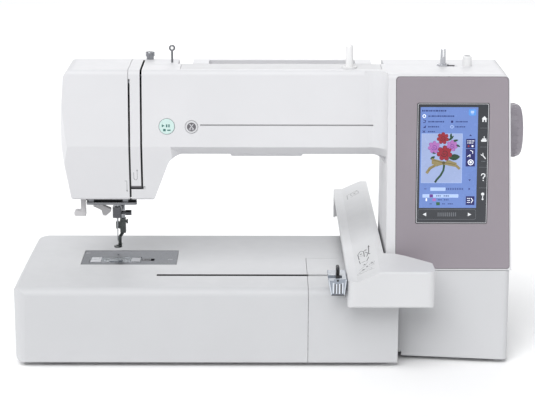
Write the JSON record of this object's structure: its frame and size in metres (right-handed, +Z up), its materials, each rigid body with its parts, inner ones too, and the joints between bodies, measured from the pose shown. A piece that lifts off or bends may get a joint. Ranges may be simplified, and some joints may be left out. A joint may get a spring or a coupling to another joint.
{
  "type": "embroidery machine",
  "caption": "Embroidery machine: flat bed, head on an arm, tower with touch screen, and a carriage arm that moves a hoop over the bed.",
  "frame": {"origin": "middle of the footprint, on the surface the machine stands on", "axes": "+X to the right as the user sits in front, +Y away from the user, +Z up"},
  "size_m": [0.5574, 0.391, 0.3381],
  "materials": {
    "body_white": "satin white plastic",
    "panel_mauve": "satin warm grey plastic",
    "bezel_dark": "glossy near black",
    "screen_blue": "lit display",
    "cast_alloy": "cast",
    "steel": "machined",
    "bright_chrome": "polished",
    "bush_brass": "machined",
    "belt_rubber": "matte",
    "foot_rubber": "matte",
    "dark_plastic": "satin",
    "board_green": "satin",
    "clear_plastic": "clear",
    "wheel_grey": "satin",
    "gloss_white": "glossy",
    "button_green": "glossy",
    "button_grey": "glossy",
    "clamp_blue": "satin",
    "plate_metal": "brushed"
  },
  "bodies": {
    "housing": {"base_pan": "body_white", "bed_cover": "body_white", "carriage_bay_cover": "body_white", "tower_base_cover": "body_white", "face_cover": "body_white", "front_cover": "body_white", "rear_cover": "body_white", "top_cover": "body_white", "thread_guide_strip": "body_white", "screen_panel": "panel_mauve", "touch_glass": "bezel_dark", "lcd_display": "screen_blue", "rubber_feet": "foot_rubber", "main_frame": "cast_alloy", "shaft_bushes": "bush_brass", "bobbin_holder": "dark_plastic", "drive_belts": "belt_rubber", "drive_motors": "steel", "control_boards": "board_green", "thread_guides": "steel", "needle_plate": "plate_metal", "fixing_screws": "steel", "x_drive_frame": "steel", "led_lens": "clear_plastic", "spool_pin": "gloss_white", "winder_stopper": "gloss_white", "thread_tension_button": "bright_chrome", "side_sockets": "dark_plastic"},
    "drive_shaft": {"main_shaft": "steel", "handwheel": "wheel_grey", "upper_pulleys": "dark_plastic"},
    "rod": {"connecting_rod": "steel"},
    "hook_shaft": {"lower_shaft": "steel"},
    "hook": {"rotary_hook": "steel"},
    "motor_pinion": {"motor_pulley": "steel"},
    "bobbin_spool": {"bobbin": "clear_plastic"},
    "needle_unit": {"needle_bar": "bright_chrome", "needle_clamp": "bright_chrome", "needle": "bright_chrome"},
    "take_up": {"take_up_lever": "bright_chrome"},
    "presser": {"presser_bar": "bright_chrome", "embroidery_foot": "bright_chrome"},
    "lifter": {"presser_lifter": "dark_plastic"},
    "threader_slider": {"threader_lever": "panel_mauve"},
    "threader_hook": {"needle_threader": "steel"},
    "carriage": {"carriage_cover": "body_white", "x_carriage": "dark_plastic", "arm_chassis": "steel", "y_rail_and_belt": "steel"},
    "x_pinion": {"x_drive_pulley": "steel"},
    "hoop_slider": {"hoop_connector": "clamp_blue"},
    "hoop_latch": {"hoop_latch_lever": "dark_plastic"},
    "window_lid": {"hook_cover_window": "clear_plastic"},
    "window_release": {"release_button": "dark_plastic"},
    "start_button": {"start_stop_button": "button_green"},
    "cutter_button": {"thread_cutter_button": "button_grey"},
    "winder": {"winder_arm": "dark_plastic"},
    "spindle": {"winder_spindle": "bright_chrome"},
    "handle": {"carrying_handle": "body_white"},
    "rocker": {"power_switch": "dark_plastic"}
  },
  "joints": [
    {"name": "handwheel_turn", "type": "hinge", "parent": "housing", "child": "drive_shaft", "pos_m": [0.0029, -0.0415, 0.2365], "axis": [1, 0, 0], "continuous": true},
    {"name": "rod_turn", "type": "hinge", "parent": "drive_shaft", "child": "rod", "pos_m": [-0.1626, -0.0415, 0.2525], "axis": [1, 0, 0], "continuous": true},
    {"name": "hook_shaft_turn", "type": "hinge", "parent": "housing", "child": "hook_shaft", "pos_m": [0.0029, -0.042, 0.04], "axis": [1, 0, 0], "continuous": true},
    {"name": "hook_turn", "type": "hinge", "parent": "housing", "child": "hook", "pos_m": [-0.1751, -0.055, 0.045], "axis": [0, 0, 1], "continuous": true},
    {"name": "motor_turn", "type": "hinge", "parent": "housing", "child": "motor_pinion", "pos_m": [0.2249, -0.0695, 0.13], "axis": [1, 0, 0], "continuous": true},
    {"name": "bobbin_turn", "type": "hinge", "parent": "housing", "child": "bobbin_spool", "pos_m": [-0.1751, -0.055, 0.072], "axis": [0, 0, 1], "continuous": true},
    {"name": "needle_slide", "type": "slide", "parent": "housing", "child": "needle_unit", "axis": [0, 0, 1], "range_m": [-0.03, 0]},
    {"name": "take_up_swing", "type": "hinge", "parent": "housing", "child": "take_up", "pos_m": [-0.1551, -0.0495, 0.276], "axis": [1, 0, 0], "range_deg": [0, 60]},
    {"name": "presser_slide", "type": "slide", "parent": "housing", "child": "presser", "axis": [0, 0, 1], "range_m": [-0.009, 0.002]},
    {"name": "lifter_swing", "type": "hinge", "parent": "housing", "child": "lifter", "pos_m": [-0.1601, -0.0075, 0.196], "axis": [1, 0, 0], "range_deg": [-32, 8]},
    {"name": "threader_slide", "type": "slide", "parent": "housing", "child": "threader_slider", "axis": [0, 0, 1], "range_m": [-0.028, 0], "stiffness_N_per_m": 20, "springref_m": 0.02},
    {"name": "threader_turn", "type": "hinge", "parent": "threader_slider", "child": "threader_hook", "pos_m": [-0.1901, -0.0555, 0.2], "axis": [0, 0, 1], "range_deg": [0, 90]},
    {"name": "carriage_slide", "type": "slide", "parent": "housing", "child": "carriage", "axis": [1, 0, 0], "range_m": [-0.2, 0]},
    {"name": "x_pinion_turn", "type": "hinge", "parent": "housing", "child": "x_pinion", "pos_m": [0.1089, -0.0855, 0.031], "axis": [0, 1, 0], "range_deg": [-1820, 0]},
    {"name": "hoop_slide", "type": "slide", "parent": "carriage", "child": "hoop_slider", "axis": [0, 1, 0], "range_m": [0, 0.34]},
    {"name": "latch_swing", "type": "hinge", "parent": "hoop_slider", "child": "hoop_latch", "pos_m": [0.07, -0.1845, 0.1062], "axis": [0, -1, 0], "range_deg": [0, 60]},
    {"name": "window_lift", "type": "slide", "parent": "housing", "child": "window_lid", "axis": [0, 0, 1], "range_m": [0, 0.02]},
    {"name": "release_push", "type": "slide", "parent": "housing", "child": "window_release", "axis": [1, 0, 0], "range_m": [0, 0.003], "stiffness_N_per_m": 150, "springref_m": -0.001},
    {"name": "start_press", "type": "slide", "parent": "housing", "child": "start_button", "axis": [0, 0.9954, -0.0959], "range_m": [0, 0.001], "stiffness_N_per_m": 400, "springref_m": -0.0005},
    {"name": "cutter_press", "type": "slide", "parent": "housing", "child": "cutter_button", "axis": [0, 0.9954, -0.0959], "range_m": [0, 0.001], "stiffness_N_per_m": 400, "springref_m": -0.0005},
    {"name": "winder_shift", "type": "slide", "parent": "housing", "child": "winder", "axis": [1, 0, 0], "range_m": [0, 0.008]},
    {"name": "spindle_turn", "type": "hinge", "parent": "winder", "child": "spindle", "pos_m": [0.1884, -0.0595, 0.32], "axis": [0, 0, 1], "continuous": true},
    {"name": "handle_lift", "type": "hinge", "parent": "housing", "child": "handle", "pos_m": [0.0119, -0.0415, 0.3055], "axis": [1, 0, 0], "range_deg": [0, 90]},
    {"name": "rocker_tilt", "type": "hinge", "parent": "housing", "child": "rocker", "pos_m": [0.2539, -0.0485, 0.035], "axis": [0, 1, 0], "range_deg": [-12, 0]}
  ],
  "couplings": [
    {"joint": "rod_turn", "follows": "handwheel_turn", "ratio": -1},
    {"joint": "hook_shaft_turn", "follows": "handwheel_turn", "ratio": 1},
    {"joint": "hook_turn", "follows": "handwheel_turn", "ratio": 2},
    {"joint": "motor_turn", "follows": "handwheel_turn", "ratio": 4},
    {"joint": "take_up_swing", "follows": "needle_slide", "rad_per_m": -34.9},
    {"joint": "lifter_swing", "follows": "presser_slide", "rad_per_m": 60},
    {"joint": "threader_turn", "follows": "threader_slide", "rad_per_m": -56},
    {"joint": "x_pinion_turn", "follows": "carriage_slide", "rad_per_m": 158.73}
  ]
}
